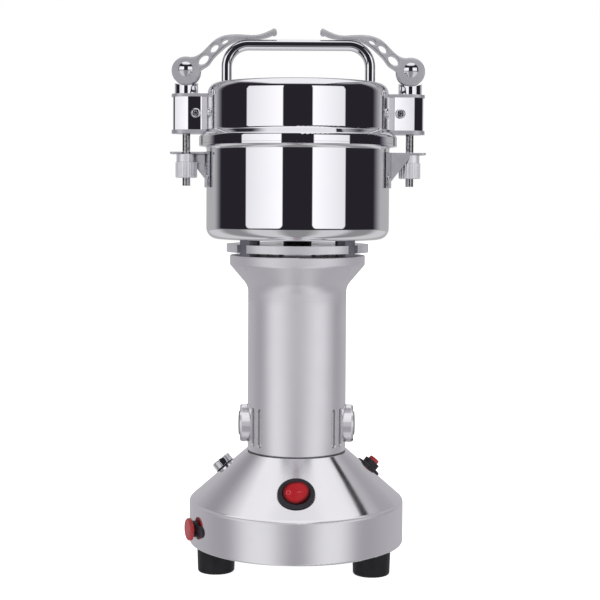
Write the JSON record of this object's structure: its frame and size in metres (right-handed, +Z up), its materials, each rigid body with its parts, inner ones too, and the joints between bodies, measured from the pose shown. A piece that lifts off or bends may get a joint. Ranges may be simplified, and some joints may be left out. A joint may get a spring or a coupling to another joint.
{
  "type": "electric grinding mill",
  "caption": "Upright electric dry mill: conical base with rocker switch, motor column, polished bowl and a lid held by cam-lever clamps.",
  "frame": {"origin": "on the floor under the shaft axis, level with the underside of the feet", "axes": "+Z up along the shaft, -Y towards the front with the switch, +X to the right seen from the front"},
  "size_m": [0.162, 0.1372, 0.3408],
  "materials": {
    "satin_aluminium": "satin",
    "mirror_steel": "mirror polished",
    "bright_fittings": "polished",
    "lever_aluminium": "satin cast",
    "black_rubber": "matte",
    "silicone": "matte",
    "black_plastic": "satin",
    "red_plastic": "gloss",
    "dark_posts": "satin",
    "plain_steel": "plain",
    "disc_aluminium": "satin",
    "core_steel": "laminated",
    "copper": "enamelled",
    "carbon": "matte",
    "fuse_glass": "clear"
  },
  "bodies": {
    "mill_body": {"base_shell": "satin_aluminium", "column_housing": "satin_aluminium", "bowl": "mirror_steel", "lower_brackets": "bright_fittings", "lower_rivets": "bright_fittings", "rubber_feet": "black_rubber", "shaft_seal": "black_rubber", "switch_bezel": "black_plastic", "breaker_body": "black_plastic", "breaker_nut": "black_plastic", "pulse_button_collar": "black_plastic", "cord_gland": "black_plastic", "brush_caps": "black_plastic", "brush_holders": "black_plastic", "fuse_holder": "black_plastic", "standoff_posts": "dark_posts", "bottom_plate": "plain_steel", "foot_screws": "plain_steel", "column_bolts": "plain_steel", "motor_bracket": "plain_steel", "lower_bearing": "plain_steel", "upper_bearing": "plain_steel", "mount_disc_screws": "plain_steel", "standoff_screws": "plain_steel", "brush_springs": "plain_steel", "mount_disc": "disc_aluminium", "stator_core": "core_steel", "field_coils": "copper", "carbon_brushes": "carbon", "fuse": "fuse_glass"},
    "rotor": {"motor_shaft": "plain_steel", "armature_core": "core_steel", "armature_winding": "copper", "commutator": "copper", "cooling_fan": "black_plastic", "grinding_blades": "plain_steel", "blade_spacers": "plain_steel", "blade_nut": "plain_steel"},
    "rocker": {"rocker": "red_plastic"},
    "reset_button": {"reset_button": "red_plastic"},
    "pulse_button": {"pulse_button": "red_plastic"},
    "fuse_cap": {"fuse_cap": "bright_fittings"},
    "lid_gasket": {"lid_gasket": "silicone"},
    "lid": {"lid": "mirror_steel", "handle": "mirror_steel", "handle_screws": "plain_steel", "clamp_brackets": "bright_fittings", "clamp_plates": "bright_fittings", "guide_blocks": "plain_steel", "clamp_screws": "bright_fittings", "bracket_rivets": "bright_fittings", "saddles": "bright_fittings"},
    "pull_rod_left": {"pull_rod_left": "bright_fittings"},
    "pull_rod_right": {"pull_rod_right": "bright_fittings"},
    "cam_lever_left": {"cam_lever_left": "lever_aluminium", "cam_pin_left": "bright_fittings"},
    "cam_lever_right": {"cam_lever_right": "lever_aluminium", "cam_pin_right": "bright_fittings"},
    "knurled_nut_left": {"knurled_nut_left": "bright_fittings"},
    "knurled_nut_right": {"knurled_nut_right": "bright_fittings"}
  },
  "joints": [
    {"name": "rotor_spin", "type": "hinge", "parent": "mill_body", "child": "rotor", "pos_m": [0, 0, 0.2], "axis": [0, 0, 1], "continuous": true},
    {"name": "rocker_tilt", "type": "hinge", "parent": "mill_body", "child": "rocker", "pos_m": [0, -0.05363, 0.05501], "axis": [0, 0.7521, 0.6591], "range_deg": [0, 16]},
    {"name": "reset_press", "type": "slide", "parent": "mill_body", "child": "reset_button", "axis": [-0.6303, -0.1927, -0.7521], "range_m": [0, 0.002], "stiffness_N_per_m": 400},
    {"name": "pulse_press", "type": "slide", "parent": "mill_body", "child": "pulse_button", "axis": [0.9272, 0.3746, 0], "range_m": [0, 0.0014], "stiffness_N_per_m": 500},
    {"name": "fuse_cap_turn", "type": "hinge", "parent": "mill_body", "child": "fuse_cap", "pos_m": [-0.04612, 0.01236, 0.05871], "axis": [0.6366, -0.1706, -0.7521], "range_deg": [-90, 0]},
    {"name": "lid_twist", "type": "hinge", "parent": "mill_body", "child": "lid_gasket", "pos_m": [0, 0, 0.26795], "axis": [0, 0, 1], "range_deg": [0, 25]},
    {"name": "lid_lift", "type": "slide", "parent": "lid_gasket", "child": "lid", "axis": [0, 0, 1], "range_m": [0, 0.12]},
    {"name": "rod_drop_left", "type": "slide", "parent": "lid", "child": "pull_rod_left", "axis": [0, 0, -1], "range_m": [0, 0.00145]},
    {"name": "cam_lever_left", "type": "hinge", "parent": "pull_rod_left", "child": "cam_lever_left", "pos_m": [-0.0712, 0, 0.31495], "axis": [0, -1, 0], "range_deg": [0, 150]},
    {"name": "nut_turn_left", "type": "hinge", "parent": "pull_rod_left", "child": "knurled_nut_left", "pos_m": [-0.0712, 0, 0.25], "axis": [0, 0, 1], "continuous": true},
    {"name": "rod_drop_right", "type": "slide", "parent": "lid", "child": "pull_rod_right", "axis": [0, 0, -1], "range_m": [0, 0.00145]},
    {"name": "cam_lever_right", "type": "hinge", "parent": "pull_rod_right", "child": "cam_lever_right", "pos_m": [0.0712, 0, 0.31495], "axis": [0, 1, 0], "range_deg": [0, 150]},
    {"name": "nut_turn_right", "type": "hinge", "parent": "pull_rod_right", "child": "knurled_nut_right", "pos_m": [0.0712, 0, 0.25], "axis": [0, 0, 1], "continuous": true}
  ],
  "couplings": [
    {"joint": "cam_lever_left", "follows": "rod_drop_left", "rad_per_m": 1805},
    {"joint": "cam_lever_right", "follows": "rod_drop_right", "rad_per_m": 1805}
  ]
}
